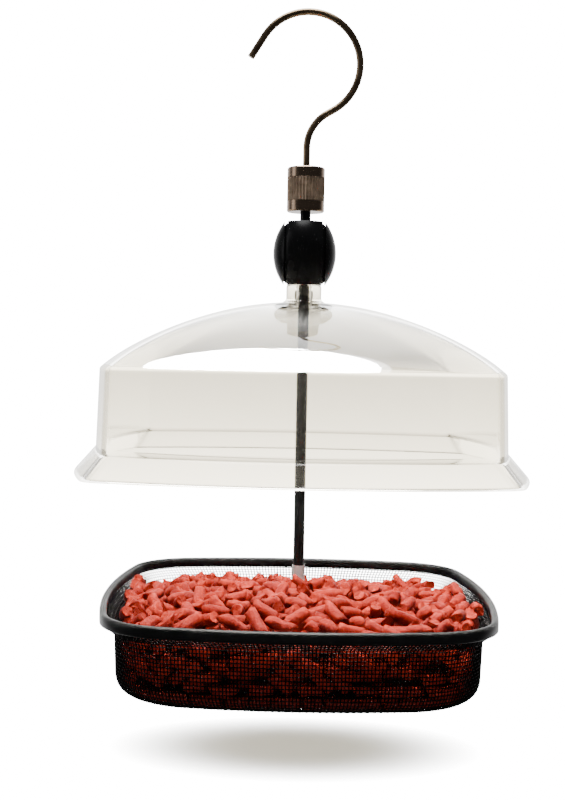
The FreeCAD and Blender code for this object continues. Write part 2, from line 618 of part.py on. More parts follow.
def pieces():
    """Every piece of the feeder by name, from the hook down."""
    return {
        "hook": hook(),
        "swivel_washer": swivel_washer(),
        "collar_upper_cap": collar_cap(COLLAR_TOP_Z, SLEEVE_TOP_Z, HOOK_BORE_D),
        "collar_sleeve": collar_sleeve(),
        "collar_lower_cap": collar_cap(COLLAR_LOW_Z, SLEEVE_LOW_Z, STEM_D + 2 * FIT_GAP),
        "rod_nut": rod_nut(),
        "rod": rod(),
        "lock_body": lock_body(),
        "lock_button_left": lock_button(-1),
        "lock_button_right": lock_button(1),
        "lock_spring_left": lock_spring(-1),
        "lock_spring_right": lock_spring(1),
        "neck_clip": neck_clip(),
        "dome": dome(),
        "tray_rim": tray_rim(),
        "tray_basket": tray_basket(),
        "tray_post": tray_post(),
        "base_plate": base_plate(),
        "base_disc": base_disc(),
        "base_screw": base_screw(),
        "feed": feed(),
    }


os.makedirs("parts", exist_ok=True)
for name, shape in pieces().items():
    shape.exportStep(f"parts/{name}.step")
    print(f"{name}: valid {shape.isValid()}, volume {shape.Volume:.1f}, faces {len(shape.Faces)}")
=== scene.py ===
import math

import bmesh
import bpy
import numpy as np
from mathutils import Matrix, Vector


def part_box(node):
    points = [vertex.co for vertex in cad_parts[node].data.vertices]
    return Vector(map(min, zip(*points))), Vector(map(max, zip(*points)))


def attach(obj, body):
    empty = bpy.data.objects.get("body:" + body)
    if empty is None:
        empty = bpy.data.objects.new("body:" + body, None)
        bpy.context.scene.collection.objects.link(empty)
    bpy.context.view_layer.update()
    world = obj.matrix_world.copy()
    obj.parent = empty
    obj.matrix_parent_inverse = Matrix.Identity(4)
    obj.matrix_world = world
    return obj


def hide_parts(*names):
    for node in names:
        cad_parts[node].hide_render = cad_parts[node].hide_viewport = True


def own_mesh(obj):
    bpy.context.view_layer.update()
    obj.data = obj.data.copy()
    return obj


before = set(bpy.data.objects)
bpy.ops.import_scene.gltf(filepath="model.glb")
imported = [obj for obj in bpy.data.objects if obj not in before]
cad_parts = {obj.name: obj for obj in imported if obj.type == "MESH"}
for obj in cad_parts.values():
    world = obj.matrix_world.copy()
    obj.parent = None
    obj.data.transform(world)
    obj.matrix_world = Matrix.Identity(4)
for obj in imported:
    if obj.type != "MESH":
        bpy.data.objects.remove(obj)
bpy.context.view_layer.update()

# Looks of the hanging bird feeder. Sizes are in millimetres, and become metres where a mesh is made.
# The front is towards -Y and the rod stands on the Z axis.

MM = 0.001
FULL_TURN = 2 * math.pi
HALF_TURN = math.pi
QUARTER_TURN = math.pi / 2

# Levels on the rod
BALL_Z = -92.672
SPIGOT_TOP_Z = -100.972
BALL_LOW_Z = -104.972
DOME_TOP_Z = -111.672
SHOULDER_Z = -138.172
JUNCTION_Z = -167.272
DOME_RIM_Z = -176.372
TRAY_TOP_Z = -225.572
TRAY_LOW_Z = -256.272

# Floor under the feeder: a fading oval pad whose grey is a painted shadow
GROUND_Z = -289.0
FLOOR_R = 80.0
FLOOR_HALF_W = 75.0  # where it has faded out
FLOOR_HALF_D = 41.0
FLOOR_FADE = 5.0  # the higher, the closer to its edge it fades

# Camera, with its angles in degrees
CAMERA_PLACE = (-6.02, -486.9, -130.54)
CAMERA_TURN = 0.184
CAMERA_DOWN = 2.326
CAMERA_ROLL = 1.096
CAMERA_LENS = 55.53
CAMERA_SENSOR = 36.0
CAMERA_NEAR = 0.01  # in metres

# Dome
DOME_HALF = 77.3
DOME_CORNER = 3.5
DOME_SIDE = 240.0  # radius of its bowed sides
DOME_WALL = 1.6
DOME_DRAFT = 1.0
DOME_ROUND = 0.6  # on its edges
FLARE_OUT = 8.0
FLARE_ROUND = 0.5  # growth of the corners' radius over the flare, per unit out
FLARE_STEPS = (0, 0.1, 0.5, 0.9)
WALL_STEPS = (0, 0.04, 0.35, 0.65, 0.96)
CROWN_RINGS = 32
CROWN_CROWDING = 1.3  # over 1, its rings lie closer together at the shoulder
EDGE_SHARE = 0.065  # part of the crown's fall that comes close to the shoulder
EDGE_POWER = 13
NECK_R = 6.9
NECK_FILLET = 1.6
NECK_ROUNDNESS = 0.9  # of the crown's last ring, where 1 is a circle
NECK_GAP = 0.2  # under the ball
ROD_BORE_R = 2.4
SPIGOT_R = 3.85

# Lock
SPRING_R = 5.0
SPRING_WIRE_R = 0.35
SPRING_TURNS = 2.5

# Tray
TRAY_HALF = 75.8
TRAY_CORNER = 27.0
TRAY_SIDE = 280.0  # radius of its bowed sides
TRAY_GIRTH = 555.0
RIM_LOW_Z = TRAY_TOP_Z - 4.0
RIM_THICKNESS = 2.8
RIM_BREAK = 0.25
RIM_CURVE = ((0, 1.3), (0.1, 0.8), (0.35, 0.4), (0.8, 0.1))  # inset and fall of its rounded top
SLOT_WALL = 0.8
SLOT_ROOF = 1.4
HEM_INSET = 1.4
HEM_H = 0.8
WALL_INSET = 5.8
STEP_H = 3.4
FOOT_INSET = 6.6
FOOT_LEAN = 0.2
FOOT_ROUND = 6.1
FOOT_CORNER = 30.6
MESH_HALF = 0.4  # half the thickness of the weave
WIRE_R = 0.25
WIRE_PITCH = 1.45
WEAVE = 0.12

# Heap of feed
FEED_CREST_Z = TRAY_TOP_Z + 4.5
FEED_CREST_Y = -30.0
FEED_CREST_R = 20.0
FEED_SLOPE = 0.17
FEED_SPREAD = 0.75
FEED_TURNS = np.arange(8) * QUARTER_TURN / 2
FEED_WAVES = (1.3, 14.0, 0.6, 19.0)  # height, reach across, phase and reach back of its unevenness
FEED_FLOOR_Z = TRAY_LOW_Z + 1.0
FEED_STEP_Z = RIM_LOW_Z - 1.2  # what lies over the basket's step rests here
FEED_REACH = 68.0
STEP_EDGE = 6.4  # further out than this, the step lies under the feed
STEP_CLEAR = 3.4  # pellets over the step stay this far in
WALL_CLEAR = 6.8  # and those below it this far
POST_CLEAR = 2.7
HEAP_OVER = 1.0  # how far a pellet may stand out over the heap
HEAP_COUNT = 2300
HEAP_TRIES = 8  # of so many pellets, the one with the most room over it is laid
HEAP_MISSES = 120
NEAR_POST = 0.9  # draws over this fall near the post
POST_SPREAD = 6
POST_ASKEW = 0.5
NEAR_WALL = 0.4  # draws under this fall near the walls
WALL_SPREAD = (0.9, 0.995)
WALL_ASKEW = 0.4
STEEPEST = 0.75
FOOTPRINT = 0.94  # part of a pellet's thickness that bears on what lies below

# Rows of pellets along the walls
ROW_STEPS = 500
ROW_END = 4  # steps that may stay free at its ends
ROW_GAP = 0.6
ROW_LENGTHS = (6, 12)
ROW_LAYER = 4.2
# Inset, how much tighter the corners are, height over the tray's foot, and layers
FOOT_ROWS = ((10.8, 4.2, 3.7, 1), (14.6, 8.0, 2.9, 1), (19.0, 12.0, 2.9, 4))
EDGE_INSET = 8.9
EDGE_PASSES = 3
EDGE_START = 8  # an upper row starts within so many steps
EDGE_GAPS = (0.3, 3)
EDGE_LENGTHS = (5, 10)
EDGE_BACK_Y = 25.0  # the upper rows end here

# Pellets, and how much they vary
PELLET_R = 2.2
PELLET_THICK = (0.92, 1.08)
PELLET_L = (8.4, 2.4)  # mean and spread
PELLET_SHORT = 4.8
PELLET_LONG = 14.0
PELLET_BOW = 0.25
PELLET_KINK = 0.12
PELLET_ROUGH = 0.1
PELLET_SWELL = 0.025
END_TAPER = 0.9
END_LEAN = 0.35
END_RAGGED = 0.28
END_HOLLOW = 0.5


def add_object(name, data):
    """A new object in the scene."""
    made = bpy.data.objects.new(name, data)
    bpy.context.scene.collection.objects.link(made)
    return made


def piece(name, points, faces):
    """A smooth mesh object from points in millimetres."""
    mesh = bpy.data.meshes.new(name)
    points = (np.asarray(points, float) * MM).tolist()
    mesh.from_pydata(points, [], [list(map(int, face)) for face in faces])
    mesh.polygons.foreach_set("use_smooth", [True] * len(mesh.polygons))
    mesh.update()
    return add_object(name, mesh)


def loft_faces(ring_count, point_count, closed):
    """Quads between rings of equally many points; closed joins the last ring to the first."""
    rings = np.arange(ring_count if closed else ring_count - 1)
    ring, point = np.meshgrid(rings, np.arange(point_count), indexing="ij")
    here = ring * point_count
    above = (ring + 1) % ring_count * point_count
    beside = (point + 1) % point_count
    corners = [here + point, here + beside, above + beside, above + point]
    return np.stack(corners, axis=-1).reshape(-1, 4)


def face_outward(made):
    """Turn every face's front to the outside."""
    shape = bmesh.new()
    shape.from_mesh(made.data)
    bmesh.ops.recalc_face_normals(shape, faces=shape.faces)
    shape.to_mesh(made.data)
    shape.free()


def round_rings(made, point_count, rings, width, steps):
    """Round off the edges that run along some rings of a loft."""
    shape = bmesh.new()
    shape.from_mesh(made.data)
    shape.verts.ensure_lookup_table()
    chosen = set(rings)
    edges = [
        edge for edge in shape.edges
        if edge.verts[0].index // point_count == edge.verts[1].index // point_count
        and edge.verts[0].index // point_count in chosen
    ]
    bmesh.ops.bevel(
        shape, geom=edges, offset=width * MM, segments=steps, profile=0.5, affect="EDGES", clamp_overlap=True,
    )
    bmesh.ops.recalc_face_normals(shape, faces=shape.faces)
    for face in shape.faces:
        face.smooth = True
    shape.to_mesh(made.data)
    shape.free()


def unit(vectors):
    return vectors / np.linalg.norm(vectors, axis=-1, keepdims=True)


def circle(reach, height, turns):
    """Points round the axis at one level; the reach may differ from turn to turn."""
    level = np.full(len(turns), float(height))
    return np.stack([reach * np.cos(turns), reach * np.sin(turns), level], axis=1)


def outline(half, corner, side, height, turns):
    """A square with bowed sides and round corners, where rays at the given turns meet it."""
    back = side - half
    middle = (math.sqrt(2 * (side - corner) ** 2 - back**2) - back) / 2
    quarter = np.round(turns / QUARTER_TURN)
    angle = turns - quarter * QUARTER_TURN
    across = np.abs(np.sin(angle))
    along = -back * np.cos(angle)
    reach = along + np.sqrt(along**2 - back**2 + side**2)
    meet = middle * side / math.hypot(middle + back, middle)
    along = middle * (np.cos(angle) + across)
    corner_reach = along + np.sqrt(np.maximum(along**2 - 2 * middle**2 + corner**2, 0))
    return circle(np.where(across * reach > meet, corner_reach, reach), height, turns)


def corner_turns(steps):
    """Turns round the axis that lie closer together towards the four corners."""
    share = (np.arange(steps) + 0.5) / steps * 2 - 1
    quarter = np.sin(share * QUARTER_TURN) * QUARTER_TURN / 2
    return np.concatenate([quarter + QUARTER_TURN * i for i in range(4)])


def dome_shell():
    """Clear dome as one closed skin: up its outside to the spigot, down the bore and down its inside."""
    turns = corner_turns(36)
    count = len(turns)
    neck_share = (NECK_R + NECK_FILLET) / DOME_HALF

    def wall(out, height, inset):
        corner = DOME_CORNER - inset + out * FLARE_ROUND
        return outline(DOME_HALF + out - inset, corner, DOME_SIDE + out - inset, height, turns)

    def crown(share, inset):
        half = DOME_HALF - inset
        corner = (DOME_CORNER - inset) / half
        turning = ((1 - share) / (1 - neck_share)) ** 2
        roundness = corner + (NECK_ROUNDNESS - corner) * turning
        fall = (1 - EDGE_SHARE) * share**2 + EDGE_SHARE * share**EDGE_POWER
        height = SHOULDER_Z + (DOME_TOP_Z - SHOULDER_Z - inset) * (1 - fall)
        return outline(share * half, share * half * roundness, share * (DOME_SIDE - inset), height, turns)

    def skirt(inset):
        flare_h = JUNCTION_Z - DOME_RIM_Z
        wall_h = SHOULDER_Z - JUNCTION_Z
        flare = [wall(DOME_DRAFT + FLARE_OUT * (1 - t), DOME_RIM_Z + flare_h * t, inset) for t in FLARE_STEPS]
        upright = [wall(DOME_DRAFT * (1 - t), JUNCTION_Z + wall_h * t, inset) for t in WALL_STEPS]
        return flare + upright

    shares = 1 - (1 - neck_share) * np.linspace(0, 1, CROWN_RINGS) ** CROWN_CROWDING
    rings = skirt(0)
    shoulder = len(rings)
    rings += [crown(share, 0) for share in shares]
    for turn in np.linspace(0, QUARTER_TURN, 6)[1:]:
        radius = NECK_R + NECK_FILLET * (1 - math.sin(turn))
        rings.append(circle(radius, DOME_TOP_Z + NECK_FILLET * (1 - math.cos(turn)), turns))
    neck_edge = len(rings)
    neck_top = BALL_LOW_Z - NECK_GAP
    neck = ((NECK_R, neck_top), (SPIGOT_R, neck_top), (SPIGOT_R, SPIGOT_TOP_Z), (ROD_BORE_R, SPIGOT_TOP_Z))
    rings += [circle(radius, height, turns) for radius, height in neck]
    inside_top = crown(neck_share, DOME_WALL)[0][2]
    rings.append(circle(ROD_BORE_R, inside_top, turns))
    rings += [crown(share, DOME_WALL) for share in shares[::-1]]
    inner_shoulder = len(rings) - 1
    rings += skirt(DOME_WALL)[::-1]
    made = piece("dome_shell", np.concatenate(rings), loft_faces(len(rings), count, True))
    round_rings(made, count, (0, shoulder, inner_shoulder, len(rings) - 1, neck_edge), DOME_ROUND, 3)
    return made


def lock_spring(side, node, joint):
    """Return spring of one cheek: round wire wound about X, which shortens as its cheek is pressed."""
    box = np.array(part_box(node)) / MM
    low, high = np.sort(np.abs(box[:, 0]))
    stations = 61
    sides = 10
    turns = np.linspace(0, SPRING_TURNS * FULL_TURN, stations)
    outward = np.stack([np.zeros(stations), np.cos(turns), np.sin(turns)], axis=1)
    path = outward * SPRING_R
    path[:, 0] = np.linspace(low + SPRING_WIRE_R, high - SPRING_WIRE_R, stations)
    path[:, 2] += BALL_Z
    beside = np.cross(unit(np.gradient(path, axis=0)), outward)
    around = circle(SPRING_WIRE_R, 0, np.arange(sides) * FULL_TURN / sides)
    points = path[:, None] + around[None, :, :1] * outward[:, None] + around[None, :, 1:2] * beside[:, None]
    points = points.reshape(-1, 3) * (side, side, 1)
    ends = [list(range(sides)), list(range(len(points) - sides, len(points)))]
    made = piece(f"{joint}_coil", points, loft_faces(stations, sides, False).tolist() + ends)
    face_outward(made)
    dress([made], plated_steel, "lock", (node,))
    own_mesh(made)


def rim_band():
    """Folded band round the tray: flat top with softened edges, and a slot below for the mesh."""
    turns = corner_turns(48)
    outer = [(RIM_BREAK, RIM_LOW_Z), (0, RIM_LOW_Z + RIM_BREAK)]
    outer += [(inset, TRAY_TOP_Z - fall) for inset, fall in RIM_CURVE]
    inner = [(RIM_THICKNESS - inset, height) for inset, height in outer[::-1]]
    roof = TRAY_TOP_Z - SLOT_ROOF
    far_wall = RIM_THICKNESS - SLOT_WALL
    slot = [(far_wall, RIM_LOW_Z), (far_wall, roof), (SLOT_WALL, roof), (SLOT_WALL, RIM_LOW_Z)]
    rings = []
    for inset, height in outer + [(RIM_THICKNESS / 2, TRAY_TOP_Z)] + inner + slot:
        rings.append(outline(TRAY_HALF - inset, TRAY_CORNER - inset, TRAY_SIDE - inset, height, turns))
    made = piece("rim_band", np.concatenate(rings), loft_faces(len(rings), len(turns), True))
    face_outward(made)
    return made


def even_outline(inset, corner, height, count):
    """The tray's outline at one level with points at even steps along it."""
    turns = np.linspace(0, FULL_TURN, 1441)
    loop = outline(TRAY_HALF - inset, corner, TRAY_SIDE - inset, height, turns)
    steps = np.linalg.norm(np.diff(loop, axis=0), axis=1)
    length = np.concatenate([[0], np.cumsum(steps)])
    at = np.linspace(0, length[-1], count, endpoint=False)
    return np.stack([np.interp(at, length, loop[:, axis]) for axis in range(3)], axis=1)


def basket_profile():
    """(inset, level, corner radius) of the mesh at even steps, from the rim down to the flat of the floor."""
    floor_z = TRAY_LOW_Z + MESH_HALF
    step_low = RIM_LOW_Z - STEP_H
    path = [(HEM_INSET, RIM_LOW_Z + HEM_H), (HEM_INSET, RIM_LOW_Z), (WALL_INSET, step_low)]
    path.append((FOOT_INSET - FOOT_LEAN, floor_z + FOOT_ROUND))
    for turn in np.linspace(0, QUARTER_TURN, 9)[1:]:
        inset = FOOT_INSET + FOOT_ROUND * (1 - math.cos(turn))
        path.append((inset, floor_z + FOOT_ROUND * (1 - math.sin(turn))))
    path = np.array(path)
    length = np.concatenate([[0], np.cumsum(np.linalg.norm(np.diff(path, axis=0), axis=1))])
    at = np.linspace(0, length[-1], round(length[-1] / WIRE_PITCH) + 1)
    insets = np.interp(at, length, path[:, 0])
    levels = np.interp(at, length, path[:, 1])
    down = np.clip((step_low - levels) / (step_low - floor_z), 0, 1)
    wall_corner = TRAY_CORNER - WALL_INSET + (FOOT_CORNER - TRAY_CORNER + WALL_INSET) * down
    corners = wall_corner - np.maximum(insets - FOOT_INSET, 0) + np.maximum(WALL_INSET - insets, 0)
    return list(zip(insets, levels, corners))


def wires(points, sides, ups):
    """Four-sided wires along the second axis of an array of points, given their two cross directions."""
    rows, count = points.shape[:2]
    around = np.stack([points + WIRE_R * way for way in (sides, ups, -sides, -ups)], axis=2)
    row, step, side = np.meshgrid(np.arange(rows), np.arange(count - 1), np.arange(4), indexing="ij")
    start = (row * count + step) * 4
    beside = (side + 1) % 4
    faces = np.stack([start + side, start + beside, start + 4 + beside, start + 4 + side], axis=-1)
    return around.reshape(-1, 3), faces.reshape(-1, 4)


def joined(parts):
    """One list of points and faces from several."""
    points = []
    faces = []
    start = 0
    for some_points, some_faces in parts:
        points.append(some_points)
        faces.append(some_faces + start)
        start += len(some_points)
    return np.concatenate(points), np.concatenate(faces)


def basket_walls():
    """Woven wires of the tray's walls: rings round the tray, and uprights from the rim to the floor."""
    levels = basket_profile()
    count = 2 * round(TRAY_GIRTH / WIRE_PITCH / 2)
    grid = np.stack([even_outline(inset, corner, level, count) for inset, level, corner in levels])
    round_way = unit(np.roll(grid, -1, axis=1) - np.roll(grid, 1, axis=1))
    down_way = unit(np.gradient(grid, axis=0))
    out_way = unit(np.cross(down_way, round_way))
    over = np.where(np.indices(grid.shape[:2]).sum(axis=0) % 2, WEAVE, -WEAVE)[..., None]
    rings = grid + over * out_way
    rings = np.concatenate([rings, rings[:, :1]], axis=1)
    ring_out = np.concatenate([out_way, out_way[:, :1]], axis=1)
    ring_down = np.concatenate([down_way, down_way[:, :1]], axis=1)
    uprights = np.swapaxes(grid - over * out_way, 0, 1)
    points, faces = joined([
        wires(rings, ring_out, ring_down),
        wires(uprights, np.swapaxes(out_way, 0, 1), np.swapaxes(round_way, 0, 1)),
    ])
    return piece("basket_walls", points, faces)


def basket_floor():
    """Woven wires of the tray's flat floor, cut to the foot of the walls."""
    inset, level, corner = basket_profile()[-1]
    half = TRAY_HALF - inset
    turns = np.linspace(-HALF_TURN, HALF_TURN, 2881)
    edge = outline(half, corner, TRAY_SIDE - inset, level, turns)
    quarter = edge[(edge[:, 0] >= 0) & (edge[:, 1] >= 0)]
    order = np.argsort(quarter[:, 1])
    lines = round(half / WIRE_PITCH) - 1
    parts = []
    for swap in (False, True):
        for line in range(-lines, lines + 1):
            place = line * WIRE_PITCH
            reach = np.interp(abs(place), quarter[order, 1], quarter[order, 0])
            crossings = int(reach / WIRE_PITCH)
            steps = np.arange(-crossings, crossings + 1)
            along = np.concatenate([[-reach], steps * WIRE_PITCH, [reach]])
            weave = np.concatenate([[0], np.where((steps + line) % 2, WEAVE, -WEAVE), [0]])
            across = np.full(len(along), place)
            height = level + (weave if swap else -weave)
            points = np.stack([across, along, height] if swap else [along, across, height], axis=1)[None]
            sides = np.zeros_like(points)
            sides[..., 0 if swap else 1] = 1
            ups = np.zeros_like(points)
            ups[..., 2] = 1
            parts.append(wires(points, sides, ups))
    points, faces = joined(parts)
    return piece("basket_floor", points, faces)


def feed_target(x, y):
    """Level that the heap of feed reaches: flat in front of the post, then even slopes to the walls."""
    reach = (FEED_SPREAD * x * np.cos(FEED_TURNS) + (y - FEED_CREST_Y) * np.sin(FEED_TURNS)).max()
    height, across, phase, back = FEED_WAVES
    uneven = height * math.sin(x / across + phase) * math.cos(y / back)
    return FEED_CREST_Z - FEED_SLOPE * max(0.0, reach - FEED_CREST_R) + uneven


def drop_pellets(random):
    """Places for the pellets: rows along the foot of the walls, then each rests across what lies below it."""
    cell = 0.6
    cells = 244
    origin = -cells * cell / 2
    stations = 13
    half = stations // 2
    surface = np.full((cells, cells), FEED_FLOOR_Z)
    turns = np.linspace(-HALF_TURN, HALF_TURN, 721)
    placed = []

    def footprint(x, y, way, length, radius):
        along = np.linspace(-length / 2, length / 2, stations)
        across = np.linspace(-radius * FOOTPRINT, radius * FOOTPRINT, 7)
        u, v = np.meshgrid(along, across, indexing="ij")
        column = ((x + u * way[0] - v * way[1] - origin) / cell).astype(int)
        row = ((y + u * way[1] + v * way[0] - origin) / cell).astype(int)
        return along, u, np.sqrt(radius**2 - v**2), row, column

    def rest(x, y, way, length, radius):
        along, _, bulge, row, column = footprint(x, y, way, length, radius)
        support = (surface[row, column] + bulge).max(axis=1)
        low, high = np.meshgrid(np.arange(half), np.arange(half + 1, stations), indexing="ij")
        slopes = (support[high] - support[low]) / (along[high] - along[low])
        over = (support[low] - slopes * along[low]).argmax()
        slope = min(max(slopes.flat[over], -STEEPEST), STEEPEST)
        return (support - slope * along).max(), slope

    def lay(x, y, middle, way, slope, length, radius):
        _, u, bulge, row, column = footprint(x, y, way, length, radius)
        np.maximum.at(surface, (row, column), middle + slope * u + bulge)
        placed.append((np.array([x, y, middle]), unit(np.array([way[0], way[1], slope])), length, radius))

    def wall_reach(inset, places):
        wall = outline(TRAY_HALF - inset, TRAY_CORNER - inset, TRAY_SIDE - inset, 0, turns)
        reach = np.linalg.norm(wall[:, :2], axis=1)
        return np.interp(np.arctan2(places[..., 1], places[..., 0]), turns, reach)

    def candidate():
        """A pellet that has room where it would come to rest, or None. How much room it has comes first."""
        x, y = random.uniform(-FEED_REACH, FEED_REACH, 2)
        turn = random.uniform(0, HALF_TURN)
        where = random.uniform()
        if where > NEAR_POST:
            x, y = random.normal(0, POST_SPREAD, 2)
            turn = math.atan2(x, -y) + random.normal(0, POST_ASKEW)
        elif where < NEAR_WALL:
            i = random.integers(ROW_STEPS)
            x, y = edge[i, :2] * random.uniform(*WALL_SPREAD)
            side = edge[(i + 1) % ROW_STEPS] - edge[i]
            turn = math.atan2(side[1], side[0]) + random.normal(0, WALL_ASKEW)
        length = min(max(random.normal(*PELLET_L), PELLET_SHORT), PELLET_LONG)
        radius = PELLET_R * random.uniform(*PELLET_THICK)
        way = np.array([math.cos(turn), math.sin(turn)])
        ends = np.array([[x, y] + way * length / 2, [x, y] - way * length / 2, [x, y]])
        out = np.hypot(ends[:, 0], ends[:, 1]) + radius
        if np.any(out > wall_reach(STEP_CLEAR, ends)):
            return None
        near_post = np.array([x, y]) - way * np.clip(way @ [x, y], -length / 2, length / 2)
        if np.hypot(*near_post) < radius + POST_CLEAR:
            return None
        middle, slope = rest(x, y, way, length, radius)
        lowest = middle - radius - abs(slope) * length / 2
        if lowest < FEED_STEP_Z and np.any(out > wall_reach(WALL_CLEAR, ends)):
            return None
        spare = feed_target(x, y) - middle - radius
        if spare <= -HEAP_OVER:
            return None
        return spare, x, y, middle, way, slope, length, radius

    rows = []
    for inset, tighter, rise, layers in FOOT_ROWS:
        for layer in range(layers):
            level = TRAY_LOW_Z + rise + ROW_LAYER * layer
            rows.append(even_outline(inset, FOOT_CORNER - tighter, level, ROW_STEPS))
    edge = even_outline(EDGE_INSET, TRAY_CORNER - EDGE_INSET, TRAY_TOP_Z, ROW_STEPS)
    step = np.linalg.norm(rows[0][1] - rows[0][0])
    for row in rows:
        at = random.uniform(0, ROW_END)
        while at < ROW_STEPS - ROW_END:
            length = random.uniform(*ROW_LENGTHS)
            first, last = row[int(at)], row[int(at + length / step) % ROW_STEPS]
            lay(*((first + last) / 2), unit((last - first)[:2]), 0.0, length, PELLET_R)
            at += (length + ROW_GAP) / step

    spots = origin + cell * (np.arange(cells) + 0.5)
    spots = np.stack(np.meshgrid(spots, spots), axis=-1)
    surface[np.linalg.norm(spots, axis=-1) > wall_reach(STEP_EDGE, spots)] = FEED_STEP_Z
    misses = 0
    while misses < HEAP_MISSES and len(placed) < HEAP_COUNT:
        best = None
        for _ in range(HEAP_TRIES):
            found = candidate()
            if found and (best is None or found[0] > best[0]):
                best = found
        misses = 0 if best else misses + 1
        if best:
            lay(*best[1:])

    for _ in range(EDGE_PASSES):
        at = random.uniform(0, EDGE_START)
        while at < ROW_STEPS - ROW_END:
            length = random.uniform(*EDGE_LENGTHS)
            first, last = edge[int(at)], edge[int(at + length / step) % ROW_STEPS]
            x, y, top = (first + last) / 2
            way = unit((last - first)[:2])
            middle, slope = rest(x, y, way, length, PELLET_R)
            if y < EDGE_BACK_Y and middle + PELLET_R < top:
                lay(x, y, middle, way, slope, length, PELLET_R)
            at += (length + random.uniform(*EDGE_GAPS)) / step
    return placed


def feed_pellets():
    """Extruded suet pellets with broken ends, heaped in the tray."""
    random = np.random.default_rng(11)
    sides = 10
    rings = 6
    turns = np.arange(sides) * FULL_TURN / sides
    last_ring = (rings - 1) * sides
    points = []
    faces = []
    flat = []
    tones = []
    ends = []
    side_faces = loft_faces(rings, sides, False)
    for centre, axis, length, radius in drop_pellets(random):
        start = len(points)
        beside = np.cross(axis, [0, 0, 1])
        beside /= np.linalg.norm(beside)
        upward = np.cross(beside, axis)
        bow = random.normal(0, PELLET_BOW)
        lean = random.normal(0, END_LEAN, (2, 2))
        rough = random.normal(0, PELLET_ROUGH, (rings, sides))
        kink = random.normal(0, PELLET_KINK, (rings, 2))
        own = []
        for i, share in enumerate(np.linspace(-1, 1, rings)):
            taper = END_TAPER if abs(share) == 1 else 1
            swell = radius * (1 + random.normal(0, PELLET_SWELL)) * taper + rough[i]
            x = np.cos(turns) * swell + kink[i, 0]
            z = np.sin(turns) * swell + kink[i, 1]
            y = np.full(sides, share * length / 2)
            if abs(share) == 1:
                tilt = lean[int(share > 0)]
                y = y + tilt[0] * x + tilt[1] * z + random.normal(0, END_RAGGED, sides)
            z = z + bow * (1 - share**2)
            own.append(centre + x[:, None] * beside + y[:, None] * axis + z[:, None] * upward)
        own = np.concatenate(own)
        caps = []
        for end, first in ((-1, 0), (1, last_ring)):
            rim = own[first:first + sides]
            caps.append((rim.mean(axis=0) - axis * end * random.uniform(0.0, END_HOLLOW))[None])
            hub = len(own) + len(caps) - 1
            for i in range(sides):
                pair = [first + i, first + (i + 1) % sides]
                faces.append([start + hub] + [start + p for p in (pair if end > 0 else pair[::-1])])
                flat.append(True)
        own = np.concatenate([own] + caps)
        faces.extend((side_faces + start).tolist())
        flat.extend([False] * len(side_faces))
        points.extend(own)
        tones.extend([random.uniform()] * len(own))
        ends.extend([1.0 if i < sides or i >= last_ring else 0.0 for i in range(len(own))])
    made = piece("feed_pellets", points, faces)
    made.data.polygons.foreach_set("use_smooth", [not is_flat for is_flat in flat])
    for name, values in (("tone", tones), ("broken", ends)):
        made.data.attributes.new(name, "FLOAT", "POINT").data.foreach_set("value", values)
    face_outward(made)
    return made


def add_node(tree, kind, inputs=None, **settings):
    """A node with its settings, and its inputs given as values or as sockets to join."""
    made = tree.nodes.new(kind)
    for key, value in settings.items():
        setattr(made, key, value)
    for key, value in (inputs or {}).items():
        if isinstance(value, bpy.types.NodeSocket):
            tree.links.new(value, made.inputs[key])
        else:
            made.inputs[key].default_value = value
    return made


def maths(tree, operation, *values, **settings):
    """Result of a sum on values or sockets."""
    inputs = dict(enumerate(values))
    return add_node(tree, "ShaderNodeMath", inputs, operation=operation, **settings).outputs[0]


def remapped(tree, value, start, end, low=0.0, high=1.0, **settings):
    """A value that runs from start to end, spread from low to high."""
    inputs = {"Value": value, "From Min": start, "From Max": end, "To Min": low, "To Max": high}
    return add_node(tree, "ShaderNodeMapRange", inputs, **settings).outputs[0]


def ranged(tree, value, low, high):
    """A value from 0 to 1, spread from low to high."""
    return remapped(tree, value, 0.0, 1.0, low, high)


def mixed(tree, share, low, high):
    """Colour between two colours."""
    return add_node(tree, "ShaderNodeMix", {0: share, 6: low, 7: high}, data_type="RGBA").outputs[2]


def noise(tree, place, scale, detail, roughness=0.5):
    """Noise from 0 to 1 over a surface."""
    inputs = {"Vector": place, "Scale": scale, "Detail": detail, "Roughness": roughness}
    return add_node(tree, "ShaderNodeTexNoise", inputs).outputs[0]


def surface_place(tree):
    """Where a point lies on its object."""
    return add_node(tree, "ShaderNodeTexCoord").outputs["Object"]


def effect(name, inputs, outputs):
    """An empty node group with its sockets, and its two end nodes."""
    tree = bpy.data.node_groups.new(name, "ShaderNodeTree")
    kinds = {"c": "NodeSocketColor", "f": "NodeSocketFloat"}
    for key, (kind, value) in inputs.items():
        tree.interface.new_socket(key, in_out="INPUT", socket_type=kinds[kind]).default_value = value
    for key, kind in outputs.items():
        tree.interface.new_socket(key, in_out="OUTPUT", socket_type=kinds[kind])
    return tree, tree.nodes.new("NodeGroupInput").outputs, tree.nodes.new("NodeGroupOutput").inputs


def mottle_effect():
    """Slow drift of colour and gloss over a surface, with a fine grain on top."""
    tree, given, result = effect(
        "mottle",
        {"Scale": ("f", 200.0), "Light": ("c", (1, 1, 1, 1)), "Dark": ("c", (0, 0, 0, 1)),
         "Gloss low": ("f", 0.3), "Gloss high": ("f", 0.5), "Grain scale": ("f", 2500.0)},
        {"Colour": "c", "Roughness": "f", "Height": "f"},
    )
    place = surface_place(tree)
    drift = remapped(tree, noise(tree, place, given["Scale"], 5.0, 0.6), 0.3, 0.7)
    tree.links.new(mixed(tree, drift, given["Dark"], given["Light"]), result["Colour"])
    tree.links.new(ranged(tree, drift, given["Gloss low"], given["Gloss high"]), result["Roughness"])
    tree.links.new(noise(tree, place, given["Grain scale"], 3.0), result["Height"])
    return tree


